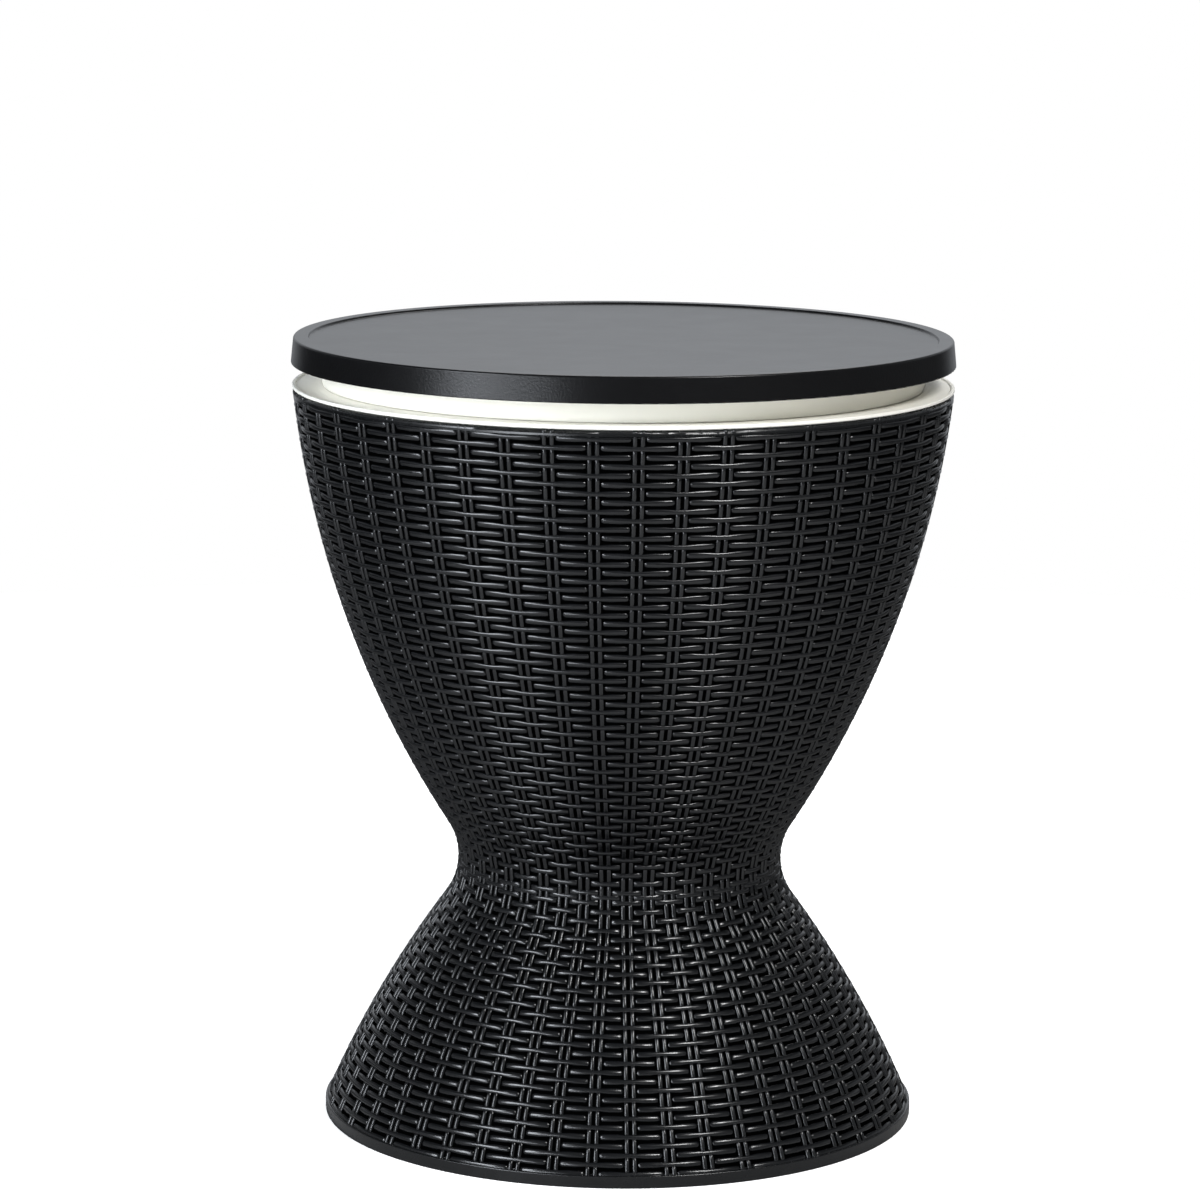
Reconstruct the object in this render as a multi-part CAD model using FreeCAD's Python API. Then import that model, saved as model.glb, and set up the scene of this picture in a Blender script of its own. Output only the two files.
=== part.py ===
import FreeCAD, Part

import math
import os

# Round patio table that opens into an ice bucket. Millimetres, Z up.
# The origin is on the floor at the centre of the foot. The front faces -Y.

# Silhouette, measured to the crests of the woven relief
skirt_radius = 247.5         # widest ring: lower edge of the tabletop's skirt
throat_height = 195.7        # narrowest ring of the hourglass
waist_curve = 53.0           # hollow curve round the waist
lower_curve = 800.0          # slow bulge of the lower cone
upper_curve = 758.0          # slow bulge of the bowl
lower_flare = 36.25          # degrees from upright where waist and lower cone meet
upper_flare = 32.7           # degrees from upright where waist and bowl meet
relief = 2.0                 # crests of the weave above the skin
stake_pairs = 48             # upright stakes of the weave, two by two: a multiple of four
stake_start = 2.65           # degrees
stake_spacing = 5.5
stake_width = 2.6
stake_height = 1.2           # above the skin
edge_round = 0.8             # small round on moulded edges
overrun = 1.0                # cutting tools start and end this far outside the material

# Black shells
shell_wall = 3.0
seam_height = 189.6          # joint between lower and upper shell
seam_chamfer = 0.5
deck_thickness = 4.0         # each shell has a deck, and the two decks lie on each other
deck_drop = 6.0              # how far the upper shell plugs into the lower one
plug_clearance = 0.2
column_hub_width = 6.0       # raised ring on the upper deck that the bucket's column stands on
column_hub_height = 3.0
foot_ledge = 1.3             # plain foot band beyond the crests above it
foot_band = 9.2
shell_top = 552.5
top_band = 5.0
top_band_round = 2.5
gusset_count = 6
gusset_thickness = 2.5
gusset_reach = 24.5          # from the throat's radius inwards
gusset_start = 15.0          # degrees, clear of the drain
gusset_depth = 58.0
gusset_lip = 2.0             # height of a gusset at its inner end

# Screws between the decks
shell_screw_count = 6
shell_screw_start = 45.0     # degrees, between the gussets
shell_screw_inset = 27.5     # from the throat's radius inwards
shell_screw_radius = 2.5
shell_screw_reach = 17.0     # shank, from the head's bearing face
shell_screw_head_radius = 4.75
shell_screw_head_height = 3.2
shell_boss_radius = 6.0
shell_boss_height = 12.0     # above the upper deck
screw_hole_clearance = 0.25

# Ice bucket
bucket_wall = 3.0
bucket_gap = 19.7            # air between shell and bucket wall
bucket_floor = 262.0         # height of the floor's upper face
bucket_corner = 16.0
rim_thickness = 2.4
rim_skirt_depth = 8.0
rim_skirt_wall = 2.5
rim_skirt_clearance = 0.3
lip_rise = 1.1
lip_width = 3.6
lip_overhang = 0.6           # lip beyond the black band under it
lip_undercut = 1.1
lip_round = 0.8
lip_inner_round = 0.6
mouth_round = 1.2
column_wall = 3.5
column_depth = 68.9          # column's top under the rim

# Telescopic post
pole_radius = 25.0
pole_wall = 2.7
tube_wall = 2.0
tube_drop = 29.6             # tube's lower end under the lower deck
tube_flange_thickness = 3.0
tube_column_clearance = 0.3
deck_hole_clearance = 0.5
bush_wall = 3.45
bush_flange_thickness = 2.0
bush_flange_width = 3.5
slide_clearance = 0.05       # pole in bush
collar_clearance = 0.08      # collar in tube
cap_wall = 2.5
cap_skirt = 12.0
cap_top = 3.5
cap_round = 2.2
cap_pole_clearance = 1.0
lift_travel = 254.0
stop_gap = 0.3

# Clamp under the lower deck, and the plug in the tube's end
washer_radius = 54.0
washer_thickness = 2.0
washer_clearance = 0.2
nut_radius = 42.0
nut_height = 18.0
nut_lobe_count = 6
nut_lobe_radius = 8.0
nut_lobe_circle = 40.0
end_cap_flange = 3.0
end_cap_depth = 10.0
end_cap_wall = 2.5
end_cap_vent_radius = 4.0

# Twist lock on the pole's lower end
pole_start = 46.0            # pole's lower end above the tube's
cam_spigot_length = 20.0
cam_shoulder = 3.0
cam_length = 20.0
cam_core_radius = 14.0
cam_reach = 17.5             # lobe tips, and the collar's pads stand just outside them
cam_lobe_count = 3
cam_lobe_radius = 5.0
pad_clearance = 0.08
pocket_extra = 2.0           # pockets in the collar are this much deeper than the pads
pocket_radius = 6.5
collar_slit = 3.0
collar_end_gap = 0.3
collar_groove_depth = 0.8
collar_groove_height = 2.0
retainer_radius = 24.0
retainer_thickness = 2.5
retainer_clearance = 0.2
retainer_screw_radius = 3.0
retainer_screw_reach = 15.0
retainer_head_radius = 6.0
retainer_head_height = 4.0
slot_width = 1.6             # driver slot in the big screw heads
slot_depth = 1.4
head_round_share = 0.45      # round on a screw head, as a share of its height
cam_pin_radius = 2.5
pin_inset = 0.2              # pin ends sit this far inside the surface

# Drain
drain_radius = 78.0          # from the centre line, towards +X
drain_bore_radius = 6.8
drain_pipe_radius = 9.0
drain_pipe_clearance = 0.3
drain_deck_clearance = 1.0
drain_flange_radius = 16.0
drain_flange_thickness = 2.5
drain_gasket_thickness = 1.5
outlet_drop = 22.0           # hose tail below the lower deck
outlet_radius = 8.0          # outside of the tail, for a hose of 16 mm bore
outlet_length = 20.0         # plain tail, chamfer included
outlet_chamfer = 0.8
sump_radius = 19.0
sump_depth = 5.0
drain_nut_flats = 28.0
drain_nut_height = 8.0
plug_fit = 0.07
plug_shank_length = 11.0
plug_nose_round = 1.5
plug_head_radius = 11.0
plug_head_thickness = 3.0
plug_head_gap = 0.3
plug_tab_width = 13.0
plug_tab_thickness = 4.0
plug_tab_height = 15.0
plug_tab_hole_radius = 3.5

# Tabletop and lid
lid_gap = 0.4                # liner ring above the rim when the table is closed
lid_plug_depth = 6.0
lid_plug_clearance = 1.9     # lid plug in the bucket's mouth
lid_plug_round = 3.0
liner_wall = 2.5
liner_ring_inset = 23.7      # lower edge of the visible ring, from the skirt's radius inwards
liner_ring_flare = 2.8       # the ring widens by this much towards the tabletop
liner_waist_height = 12.7
liner_neck_flare = 0.6
liner_rib_gap = 1.0          # liner flange below the tabletop's ribs
liner_flange_inset = 10.5    # from the skirt's radius inwards
liner_flange_thickness = 2.0
liner_hole_clearance = 0.4
liner_screw_count = 8
liner_screw_radius = 2.0
liner_screw_reach = 7.0
liner_screw_head_radius = 3.8
liner_screw_head_height = 2.2
liner_boss_radius = 5.0
finger_gap = 15.5            # between the bucket's lip and the skirt
skirt_height = 19.3
skirt_overhang = 0.8         # skirt beyond the bucket's lip
skirt_draft = 1.9            # the skirt is this much smaller in radius at the top
skirt_wall = 3.2
skirt_round = 1.6
edge_width = 11.0            # raised edge round the tabletop
edge_drop = 1.5              # tabletop face below the raised edge
edge_slope = 0.8
step_round = 0.6
top_thickness = 3.0
rib_count = 12
rib_thickness = 2.2
rib_height = 8.3
rib_inner_radius = 62.0
rib_outer_gap = 5.0
ring_rib_radius = 140.0
boss_height = 13.0           # pole socket hangs this far under the tabletop

# Pole socket
socket_wall = 4.0
socket_length = 28.0
socket_plate_radius = 58.0
socket_plate_thickness = 5.0
socket_gusset_count = 8
socket_gusset_height = 14.0
socket_gusset_width = 22.0
socket_screw_count = 4
socket_screw_circle = 48.0
socket_boss_radius = 7.0
socket_screw_reach = 9.0
socket_pin_radius = 3.0
socket_pin_height = 5.0      # pin axis above the socket's lower end

axis_up = FreeCAD.Vector(0, 0, 1)
axis_x = FreeCAD.Vector(1, 0, 0)
origin = FreeCAD.Vector(0, 0, 0)


# Centres of the three tangent arcs that draw the hourglass, as (distance beyond the throat, height)
def arc_centres():
    low = math.radians(lower_flare)
    high = math.radians(upper_flare)
    lower_span = waist_curve + lower_curve
    upper_span = waist_curve + upper_curve
    lower = (waist_curve - lower_span * math.cos(low), throat_height - lower_span * math.sin(low))
    upper = (waist_curve - upper_span * math.cos(high), throat_height + upper_span * math.sin(high))
    return lower, (waist_curve, throat_height), upper


lower_centre, waist_centre, upper_centre = arc_centres()


# Heights where the waist curve meets the lower cone and the bowl, at a depth under the crests
def waist_limits(depth):
    reach = waist_curve + depth
    low = waist_centre[1] - reach * math.sin(math.radians(lower_flare))
    high = waist_centre[1] + reach * math.sin(math.radians(upper_flare))
    return low, high


# How far the hourglass stands outside its throat at a height, at a depth under the crests
def bulge(height, depth):
    low, high = waist_limits(depth)
    if height < low:
        rise = height - lower_centre[1]
        return lower_centre[0] + math.sqrt((lower_curve - depth) ** 2 - rise ** 2)
    if height > high:
        rise = height - upper_centre[1]
        return upper_centre[0] + math.sqrt((upper_curve - depth) ** 2 - rise ** 2)
    rise = height - waist_centre[1]
    return waist_centre[0] - math.sqrt((waist_curve + depth) ** 2 - rise ** 2)


# The skirt's radius sets the bowl's top band, and the band sets the throat
band_bottom = shell_top - top_band
lip_radius = skirt_radius - skirt_overhang
band_radius = lip_radius - lip_overhang
throat_radius = band_radius - bulge(band_bottom, 0)


def skin_radius(height, depth):
    return throat_radius + bulge(height, depth)


# Heights, radii and depths that follow from the values above
foot_radius = skin_radius(foot_band, 0) + foot_ledge
gusset_inner_radius = throat_radius - gusset_reach
shell_screw_circle = throat_radius - shell_screw_inset
deck_joint = seam_height - deck_drop
lower_deck_bottom = deck_joint - deck_thickness
upper_deck_top = deck_joint + deck_thickness
tube_bottom = lower_deck_bottom - tube_drop
pole_bottom = tube_bottom + pole_start
column_bottom = upper_deck_top + column_hub_height
rim_top = shell_top + rim_thickness
lip_top = rim_top + lip_rise
column_top = rim_top - column_depth
skirt_bottom = lip_top + finger_gap
edge_top = skirt_bottom + skirt_height
face_height = edge_top - edge_drop
face_underside = face_height - top_thickness
skirt_top_radius = skirt_radius - skirt_draft
tube_inner_radius = pole_radius + slide_clearance + bush_wall
tube_radius = tube_inner_radius + tube_wall
deck_hole_radius = tube_radius + deck_hole_clearance
column_inner_radius = tube_radius + tube_column_clearance
column_radius = column_inner_radius + column_wall
tube_top = column_top + tube_flange_thickness
bush_top = tube_top + bush_flange_thickness
pole_inner_radius = pole_radius - pole_wall
cam_top = pole_bottom - cam_shoulder
cam_bottom = cam_top - cam_length
collar_top = cam_top - collar_end_gap
collar_bottom = cam_bottom + collar_end_gap
collar_radius = tube_inner_radius - collar_clearance
bush_bottom = collar_top + lift_travel + stop_gap
bucket_outer_depth = relief + shell_wall + bucket_gap
bucket_inner_depth = bucket_outer_depth + bucket_wall
mouth_height = rim_top - mouth_round
mouth_radius = skin_radius(mouth_height, bucket_inner_depth)
sump_floor = bucket_floor - sump_depth
sump_bottom = sump_floor - bucket_wall
spigot_top = sump_floor + drain_gasket_thickness + drain_flange_thickness
lid_plug_radius = mouth_radius - lid_plug_clearance
liner_ring_radius = skirt_radius - liner_ring_inset
liner_waist_radius = liner_ring_radius + liner_ring_flare
liner_flange_radius = skirt_radius - liner_flange_inset
liner_ring_bottom = rim_top + lid_gap
liner_bottom = liner_ring_bottom - lid_plug_depth
boss_bottom = face_underside - boss_height
socket_plate_bottom = boss_bottom - socket_plate_thickness
socket_bottom = socket_plate_bottom - socket_length
socket_radius = pole_radius + socket_wall
socket_pin_at = socket_bottom + socket_pin_height
cam_pin_at = pole_bottom + cam_spigot_length / 2
rib_bottom = face_underside - rib_height
liner_flange_top = rib_bottom - liner_rib_gap
liner_flange_bottom = liner_flange_top - liner_flange_thickness
liner_screw_circle = liner_flange_radius - liner_boss_radius

# A closed outline in the half plane of radius and height, turned into a round solid
class Outline:
    def __init__(self, radius, height):
        self.steps = [("line", (radius, height), 0.0)]

    def to(self, radius, height, fillet=0.0):
        self.steps.append(("line", (radius, height), fillet))
        return self

    def arc(self, middle, end):
        self.steps.append(("arc", end, middle))
        return self

    # follow the hourglass from the last point to a height, split where its arcs meet
    def skin(self, end_height, depth):
        here = self.steps[-1][1][1]
        lowest = min(here, end_height)
        highest = max(here, end_height)
        stops = [height for height in waist_limits(depth) if lowest < height < highest]
        if end_height < here:
            stops.reverse()
        for stop in stops + [end_height]:
            middle = (here + stop) / 2
            self.arc((skin_radius(middle, depth), middle), (skin_radius(stop, depth), stop))
            here = stop
        return self

    def wire(self):
        points = [FreeCAD.Vector(step[1][0], 0, step[1][1]) for step in self.steps]
        count = len(points)
        entry = list(points)
        leave = list(points)
        edges = []
        for i, step in enumerate(self.steps):
            if step[0] == "line" and step[2] > 0:
                before = (points[i - 1] - points[i]).normalize()
                after = (points[(i + 1) % count] - points[i]).normalize()
                half = before.getAngle(after) / 2
                reach = step[2] / math.tan(half)
                entry[i] = points[i] + before * reach
                leave[i] = points[i] + after * reach
        for i, step in enumerate(self.steps):
            if entry[i] != leave[i]:
                corner = points[i]
                chord = (entry[i] + leave[i]) * 0.5
                inward = chord - corner
                half = math.acos(min(1.0, inward.Length / (entry[i] - corner).Length))
                centre = corner + inward.normalize() * (step[2] / math.sin(half))
                middle = centre + (corner - centre).normalize() * step[2]
                edges.append(Part.Arc(entry[i], middle, leave[i]).toShape())
            after = (i + 1) % count
            if self.steps[after][0] == "arc":
                middle = FreeCAD.Vector(self.steps[after][2][0], 0, self.steps[after][2][1])
                edges.append(Part.Arc(leave[i], middle, entry[after]).toShape())
            elif leave[i].distanceToPoint(entry[after]) > 1e-6:
                edges.append(Part.LineSegment(leave[i], entry[after]).toShape())
        return Part.Wire(edges)

    def solid(self):
        return Part.Face(self.wire()).revolve(origin, axis_up, 360)


def ring(inner, outer, bottom, top):
    return Outline(inner, bottom).to(outer, bottom).to(outer, top).to(inner, top).solid()


def rod(radius, bottom, top, x=0.0, y=0.0):
    return Part.makeCylinder(radius, top - bottom, FreeCAD.Vector(x, y, bottom), axis_up)


def cross_rod(radius, half_length, height):
    return Part.makeCylinder(radius, 2 * half_length, FreeCAD.Vector(-half_length, 0, height), axis_x)


# Copies of a shape turned about the table's axis
def around(shape, count, start=0.0):
    copies = []
    for i in range(count):
        copy = shape.copy()
        copy.rotate(origin, axis_up, start + i * 360.0 / count)
        copies.append(copy)
    return copies


# A round shell with pairs of stakes on its skin: one quarter is made, then turned and joined
def staked(shell, bottom, top):
    face = relief - stake_height
    root = relief + shell_wall / 2
    outline = Outline(skin_radius(bottom, root), bottom)
    outline.to(skin_radius(bottom, face), bottom).skin(top, face)
    outline.to(skin_radius(top, root), top).skin(bottom, root)
    blade = Part.Face(outline.wire()).extrude(FreeCAD.Vector(0, stake_width, 0))
    blade.translate(FreeCAD.Vector(0, (stake_spacing - stake_width) / 2, 0))
    twin = blade.copy()
    twin.translate(FreeCAD.Vector(0, -stake_spacing, 0))
    quarters = 4
    share = stake_pairs // quarters
    blades = around(blade, stake_pairs, stake_start)[:share] + around(twin, stake_pairs, stake_start)[:share]
    quarter = Part.Face(shell.wire()).revolve(origin, axis_up, 360 / quarters)
    quarter.rotate(origin, axis_up, stake_start - 180.0 / stake_pairs)
    quarter = quarter.fuse(blades)
    half = quarter.fuse(around(quarter, quarters)[1])
    other_half = around(half, 2)[1]
    return half.fuse(other_half).removeSplitter()


# An upright plate in the XZ plane, from points of (radius, height)
def plate(points, thickness):
    corners = [FreeCAD.Vector(r, -thickness / 2, h) for r, h in points]
    face = Part.Face(Part.makePolygon(corners + [corners[0]]))
    return face.extrude(FreeCAD.Vector(0, thickness, 0))


# A pan-head screw standing head down; its shank rises from the bearing face
def screw(face_at, reach, shank_radius, head_radius, head_height, x, y):
    head = rod(head_radius, face_at - head_height, face_at, x, y)
    low_rim = [edge for edge in head.Edges if abs(edge.BoundBox.ZMax - (face_at - head_height)) < 1e-6]
    head = head.makeFillet(head_height * head_round_share, low_rim)
    shank = rod(shank_radius, face_at, face_at + reach, x, y)
    slot = Part.makeBox(2 * head_radius, slot_width, slot_depth)
    slot.translate(FreeCAD.Vector(x - head_radius, y - slot_width / 2, face_at - head_height))
    return head.fuse(shank).removeSplitter().cut(slot)


def circle_points(count, radius, start=0.0):
    turns = [math.radians(start + i * 360.0 / count) for i in range(count)]
    return [(radius * math.cos(t), radius * math.sin(t)) for t in turns]


# Lower cone: foot band, woven skin, deck at the waist and gussets under it
def base_shell():
    inner = relief + shell_wall
    recess = skin_radius(seam_height, inner)
    outline = Outline(skin_radius(0, inner), 0)
    outline.to(foot_radius, 0, edge_round).to(foot_radius, foot_band, edge_round)
    outline.to(skin_radius(foot_band, relief), foot_band).skin(seam_height - seam_chamfer, relief)
    outline.to(skin_radius(seam_height, relief) - seam_chamfer, seam_height)
    outline.to(recess, seam_height).to(recess, deck_joint).to(deck_hole_radius, deck_joint)
    outline.to(deck_hole_radius, lower_deck_bottom)
    outline.to(skin_radius(lower_deck_bottom, inner), lower_deck_bottom).skin(0, inner)
    body = staked(outline, foot_band - overrun, seam_height - seam_chamfer)
    middle = relief + shell_wall / 2
    toe = lower_deck_bottom - gusset_depth
    halfway = lower_deck_bottom - gusset_depth / 2
    gusset = plate([(gusset_inner_radius, lower_deck_bottom + deck_thickness / 2),
                    (gusset_inner_radius, lower_deck_bottom - gusset_lip),
                    (skin_radius(toe, middle), toe),
                    (skin_radius(halfway, middle), halfway),
                    (skin_radius(lower_deck_bottom, middle), lower_deck_bottom)], gusset_thickness)
    body = body.fuse(around(gusset, gusset_count, gusset_start)).removeSplitter()
    screw_hole = shell_screw_radius + screw_hole_clearance
    drain_hole = drain_pipe_radius + drain_deck_clearance
    holes = [rod(drain_hole, lower_deck_bottom - overrun, deck_joint + overrun, drain_radius)]
    for x, y in circle_points(shell_screw_count, shell_screw_circle, shell_screw_start):
        holes.append(rod(screw_hole, lower_deck_bottom - overrun, deck_joint + overrun, x, y))
    return body.cut(holes)


# Bowl: deck at the waist with screw bosses, woven skin and plain top band
def upper_shell():
    inner = relief + shell_wall
    plug = skin_radius(seam_height, inner) - plug_clearance
    turn = top_band_round * (1 - math.sqrt(0.5))
    outline = Outline(deck_hole_radius, deck_joint)
    outline.to(plug, deck_joint).to(plug, seam_height)
    outline.to(skin_radius(seam_height, relief) - seam_chamfer, seam_height)
    outline.to(skin_radius(seam_height + seam_chamfer, relief), seam_height + seam_chamfer)
    outline.skin(band_bottom, relief).to(band_radius, band_bottom + relief / 2)
    outline.to(band_radius, shell_top - top_band_round)
    outline.arc((band_radius - turn, shell_top - turn), (band_radius - top_band_round, shell_top))
    outline.to(skin_radius(shell_top, inner), shell_top).skin(upper_deck_top, inner)
    outline.to(deck_hole_radius + column_hub_width, upper_deck_top)
    outline.to(deck_hole_radius + column_hub_width, column_bottom).to(deck_hole_radius, column_bottom)
    body = staked(outline, seam_height + seam_chamfer, band_bottom + relief / 2)
    pilot_end = lower_deck_bottom + shell_screw_reach
    boss_top = upper_deck_top + shell_boss_height
    drain_hole = drain_pipe_radius + drain_deck_clearance
    bosses = []
    holes = [rod(drain_hole, deck_joint - overrun, upper_deck_top + overrun, drain_radius)]
    for x, y in circle_points(shell_screw_count, shell_screw_circle, shell_screw_start):
        bosses.append(rod(shell_boss_radius, deck_joint + overrun, boss_top, x, y))
        holes.append(rod(shell_screw_radius, deck_joint - overrun, pilot_end, x, y))
    return body.fuse(bosses).cut(holes).removeSplitter()


def shell_screws():
    spots = circle_points(shell_screw_count, shell_screw_circle, shell_screw_start)
    return [screw(lower_deck_bottom, shell_screw_reach, shell_screw_radius, shell_screw_head_radius,
                  shell_screw_head_height, x, y) for x, y in spots]


# Three points of the round corner between the bucket's floor and its wall
def bowl_corner(floor, depth, fillet):
    reach = upper_curve - depth
    centre_height = floor + fillet
    rise = centre_height - upper_centre[1]
    centre_x = throat_radius + upper_centre[0]
    centre_radius = centre_x + math.sqrt((reach - fillet) ** 2 - rise ** 2)
    scale = reach / (reach - fillet)
    wall_radius = centre_x + (centre_radius - centre_x) * scale
    wall_height = upper_centre[1] + rise * scale
    turn = (math.atan2(wall_height - centre_height, wall_radius - centre_radius) - math.pi / 2) / 2
    middle = (centre_radius + fillet * math.cos(turn), centre_height + fillet * math.sin(turn))
    return (centre_radius, floor), middle, (wall_radius, wall_height)


# Bucket: wall that follows the bowl, rim flange with lip, floor with sump, central column
def ice_bucket():
    skirt_outer = skin_radius(shell_top - rim_skirt_depth, relief + shell_wall) - rim_skirt_clearance
    skirt_inner = skirt_outer - rim_skirt_wall
    lip_root = lip_radius - lip_width
    floor_in, corner_in, wall_in = bowl_corner(bucket_floor, bucket_inner_depth, bucket_corner)
    floor_out, corner_out, wall_out = bowl_corner(bucket_floor - bucket_wall, bucket_outer_depth,
                                                  bucket_corner + bucket_wall)
    turn = mouth_round * (1 - math.sqrt(0.5))
    outline = Outline(column_inner_radius, column_bottom)
    outline.to(column_radius, column_bottom).to(column_radius, bucket_floor - bucket_wall)
    outline.to(*floor_out).arc(corner_out, wall_out).skin(shell_top - bucket_wall, bucket_outer_depth)
    outline.to(skin_radius(shell_top - bucket_wall, bucket_outer_depth) + bucket_wall, shell_top)
    outline.to(skirt_inner, shell_top).to(skirt_inner, shell_top - rim_skirt_depth)
    outline.to(skirt_outer, shell_top - rim_skirt_depth).to(skirt_outer, shell_top)
    outline.to(lip_root, shell_top).to(lip_radius, shell_top + lip_undercut, lip_round)
    outline.to(lip_radius, lip_top, lip_round).to(lip_root + lip_rise, lip_top, lip_inner_round)
    outline.to(lip_root, rim_top, lip_inner_round)
    outline.to(mouth_radius + mouth_round, rim_top)
    outline.arc((mouth_radius + turn, rim_top - turn), (mouth_radius, mouth_height))
    outline.skin(wall_in[1], bucket_inner_depth).arc(corner_in, floor_in)
    outline.to(column_radius, bucket_floor, column_wall).to(column_radius, column_top)
    outline.to(column_inner_radius, column_top)
    body = outline.solid()
    body = body.fuse(rod(sump_radius + bucket_wall, sump_bottom, bucket_floor - overrun, drain_radius))
    body = body.cut(rod(sump_radius, sump_floor, bucket_floor + overrun, drain_radius))
    hole = rod(drain_pipe_radius + drain_pipe_clearance, sump_bottom - overrun, bucket_floor, drain_radius)
    return body.cut(hole).removeSplitter()


def column_tube():
    outline = Outline(tube_inner_radius, tube_bottom).to(tube_radius, tube_bottom)
    outline.to(tube_radius, column_top).to(column_radius, column_top)
    outline.to(column_radius, tube_top).to(tube_inner_radius, tube_top)
    return outline.solid()


def column_bush():
    bore = pole_radius + slide_clearance
    flange = tube_inner_radius + bush_flange_width
    outline = Outline(bore, bush_bottom).to(tube_inner_radius, bush_bottom)
    outline.to(tube_inner_radius, tube_top).to(flange, tube_top)
    outline.to(flange, bush_top).to(bore, bush_top)
    return outline.solid()


def column_cap():
    outer = column_radius + cap_wall
    bore = pole_radius + cap_pole_clearance
    outline = Outline(column_radius, tube_top - cap_skirt).to(outer, tube_top - cap_skirt, edge_round)
    outline.to(outer, bush_top + cap_top, cap_round).to(bore, bush_top + cap_top, edge_round)
    outline.to(bore, bush_top).to(column_radius, bush_top)
    return outline.solid()


def tube_end_cap():
    outline = Outline(end_cap_vent_radius, tube_bottom - end_cap_flange)
    outline.to(tube_radius, tube_bottom - end_cap_flange, edge_round).to(tube_radius, tube_bottom)
    outline.to(tube_inner_radius, tube_bottom).to(tube_inner_radius, tube_bottom + end_cap_depth)
    outline.to(tube_inner_radius - end_cap_wall, tube_bottom + end_cap_depth)
    outline.to(tube_inner_radius - end_cap_wall, tube_bottom).to(end_cap_vent_radius, tube_bottom)
    return outline.solid()


def clamp_washer():
    top = lower_deck_bottom
    return ring(tube_radius + washer_clearance, washer_radius, top - washer_thickness, top)


def clamp_nut():
    top = lower_deck_bottom - washer_thickness
    bottom = top - nut_height
    body = rod(nut_radius, bottom, top)
    for x, y in circle_points(nut_lobe_count, nut_lobe_circle):
        body = body.fuse(rod(nut_lobe_radius, bottom, top, x, y))
    return body.cut(rod(tube_radius, bottom - overrun, top + overrun)).removeSplitter()


def drain_spigot():
    bottom = lower_deck_bottom - outlet_drop
    shoulder = bottom + outlet_length
    flange_bottom = sump_floor + drain_gasket_thickness
    outline = Outline(drain_bore_radius, bottom).to(outlet_radius - outlet_chamfer, bottom)
    outline.to(outlet_radius, bottom + outlet_chamfer).to(outlet_radius, shoulder)
    outline.to(drain_pipe_radius, shoulder + drain_pipe_radius - outlet_radius)
    outline.to(drain_pipe_radius, flange_bottom).to(drain_flange_radius, flange_bottom)
    outline.to(drain_flange_radius, spigot_top, edge_round).to(drain_bore_radius, spigot_top)
    shape = outline.solid()
    shape.translate(FreeCAD.Vector(drain_radius, 0, 0))
    return shape


def drain_gasket():
    shape = ring(drain_pipe_radius, drain_flange_radius, sump_floor, sump_floor + drain_gasket_thickness)
    shape.translate(FreeCAD.Vector(drain_radius, 0, 0))
    return shape


def drain_nut():
    corner = drain_nut_flats / math.sqrt(3)
    bottom = sump_bottom - drain_nut_height
    hexagon = circle_points(6, corner)
    corners = [FreeCAD.Vector(drain_radius + x, y, bottom) for x, y in hexagon]
    face = Part.Face(Part.makePolygon(corners + [corners[0]]))
    block = face.extrude(FreeCAD.Vector(0, 0, drain_nut_height))
    return block.cut(rod(drain_pipe_radius, bottom - overrun, sump_bottom + overrun, drain_radius))


def drain_plug():
    head_bottom = spigot_top + plug_head_gap
    head_top = head_bottom + plug_head_thickness
    shank = drain_bore_radius - plug_fit
    outline = Outline(0, head_bottom - plug_shank_length)
    outline.to(shank, head_bottom - plug_shank_length, plug_nose_round).to(shank, head_bottom)
    outline.to(plug_head_radius, head_bottom).to(plug_head_radius, head_top, edge_round).to(0, head_top)
    body = outline.solid()
    half = plug_tab_width / 2
    tab_top = head_top + plug_tab_height
    tab = Part.makeBox(plug_tab_thickness, plug_tab_width, tab_top - half - head_bottom)
    tab.translate(FreeCAD.Vector(-plug_tab_thickness / 2, -half, head_bottom))
    crown_at = FreeCAD.Vector(-plug_tab_thickness / 2, 0, tab_top - half)
    tab = tab.fuse(Part.makeCylinder(half, plug_tab_thickness, crown_at, axis_x))
    tab = tab.cut(Part.makeCylinder(plug_tab_hole_radius, plug_tab_thickness, crown_at, axis_x))
    body = body.fuse(tab).removeSplitter()
    body.translate(FreeCAD.Vector(drain_radius, 0, 0))
    return body


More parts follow.
